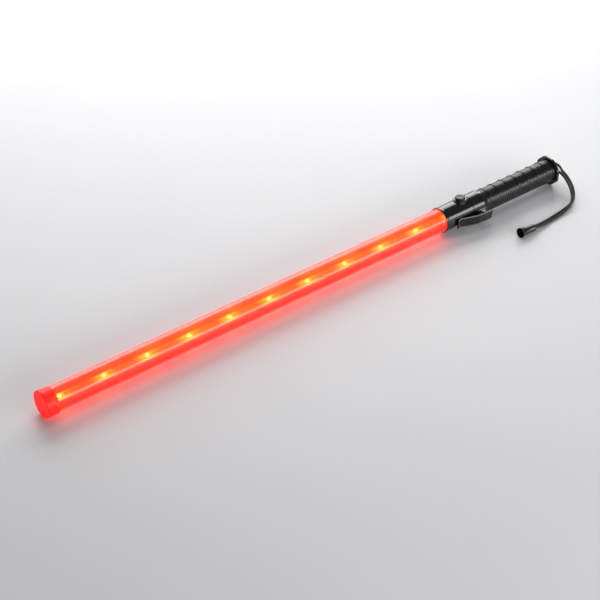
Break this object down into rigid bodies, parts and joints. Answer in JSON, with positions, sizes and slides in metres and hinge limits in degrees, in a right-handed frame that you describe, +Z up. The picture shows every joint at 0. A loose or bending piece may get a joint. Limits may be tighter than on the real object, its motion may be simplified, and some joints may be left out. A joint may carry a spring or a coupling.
{
  "type": "traffic baton light",
  "caption": "Handheld red light baton with a transparent tube, push switch, belt clip, ribbed battery handle and a cord wrist strap on its screw-on tail cap.",
  "frame": {"origin": "centre of the box round the baton without its strap, on the surface that the baton lies on", "axes": "+X along the baton from the light tube's tip to the tail cap, +Z up, the belt clip and the strap on the -Y side"},
  "size_m": [0.8914, 0.1093, 0.0454],
  "materials": {
    "cap_black": "moulded black plastic, fine texture",
    "cap_red": "clear red plastic, thick, lit from inside",
    "tube_red": "clear red plastic, lit from inside",
    "prism_clear": "clear ribbed plastic",
    "board_green": "solder-masked circuit board",
    "led_amber": "domed diode",
    "component_black": "moulded component",
    "holder_white": "moulded white plastic",
    "head_black": "moulded black plastic, satin",
    "bezel_black": "polished black plastic",
    "button_rubber": "black silicone",
    "steel": "bright steel",
    "spring_steel": "spring wire",
    "handle_black": "moulded black plastic, fine texture",
    "grip_rubber": "ribbed black rubber",
    "seal_rubber": "black rubber",
    "brass": "plain brass",
    "cell_wrap": "printed steel can without marks",
    "wire_red": "insulated wire",
    "wire_black": "insulated wire",
    "clip_black": "moulded black plastic, satin",
    "cord_black": "braided black cord",
    "bell_black": "black plastic"
  },
  "bodies": {
    "housing": {"battery_front": "cell_wrap", "battery_rear": "cell_wrap", "button_bezel": "bezel_black", "button_spring": "spring_steel", "clip_bracket": "clip_black", "clip_pin": "steel", "clip_screws": "steel", "clip_spring": "spring_steel", "front_contact": "brass", "grip_sleeve": "grip_rubber", "ground_strip": "brass", "handle_body": "handle_black", "head_board_holder": "holder_white", "head_housing": "head_black", "led_board": "board_green", "leds_lower": "led_amber", "leds_upper": "led_amber", "light_tube": "tube_red", "prism_sleeve": "prism_clear", "resistors": "component_black", "seam_ring": "seal_rubber", "switch_board": "board_green", "switch_body": "component_black", "tip_board_holder": "holder_white", "tip_cap": "cap_red", "wire_negative": "wire_black", "wire_positive": "wire_red"},
    "button": {"push_button": "button_rubber", "switch_plunger": "holder_white"},
    "clip": {"belt_clip": "clip_black"},
    "seal": {"tail_o_ring": "seal_rubber"},
    "tail_cap": {"tail_cap": "cap_black", "tail_contact": "brass", "tail_spring": "spring_steel", "strap_strand_a": "cord_black", "strap_strand_b": "cord_black", "strap_bell": "bell_black", "strap_knot": "cord_black"}
  },
  "joints": [
    {"name": "button_press", "type": "slide", "parent": "housing", "child": "button", "axis": [0.0031, -0.0698, -0.9976], "range_m": [0, 0.002], "stiffness_N_per_m": 600, "springref_m": -0.0004, "deforming": ["button_spring"]},
    {"name": "clip_flex", "type": "hinge", "parent": "housing", "child": "clip", "pos_m": [0.27326, -0.02035, 0.01772], "axis": [-0.0031, -0.1392, 0.9903], "range_deg": [0, 12], "stiffness_Nm_per_rad": 0.5, "springref_deg": -1.15, "deforming": ["clip_spring"]},
    {"name": "cap_travel", "type": "slide", "parent": "housing", "child": "seal", "axis": [1, 0, 0.0031], "range_m": [0, 0.009]},
    {"name": "cap_turn", "type": "hinge", "parent": "seal", "child": "tail_cap", "pos_m": [0.42725, 0.0046, 0.02171], "axis": [1, 0, 0.0031], "range_deg": [0, 1080]}
  ],
  "couplings": [
    {"joint": "cap_travel", "follows": "cap_turn", "m_per_rad": 0.00047746}
  ]
}
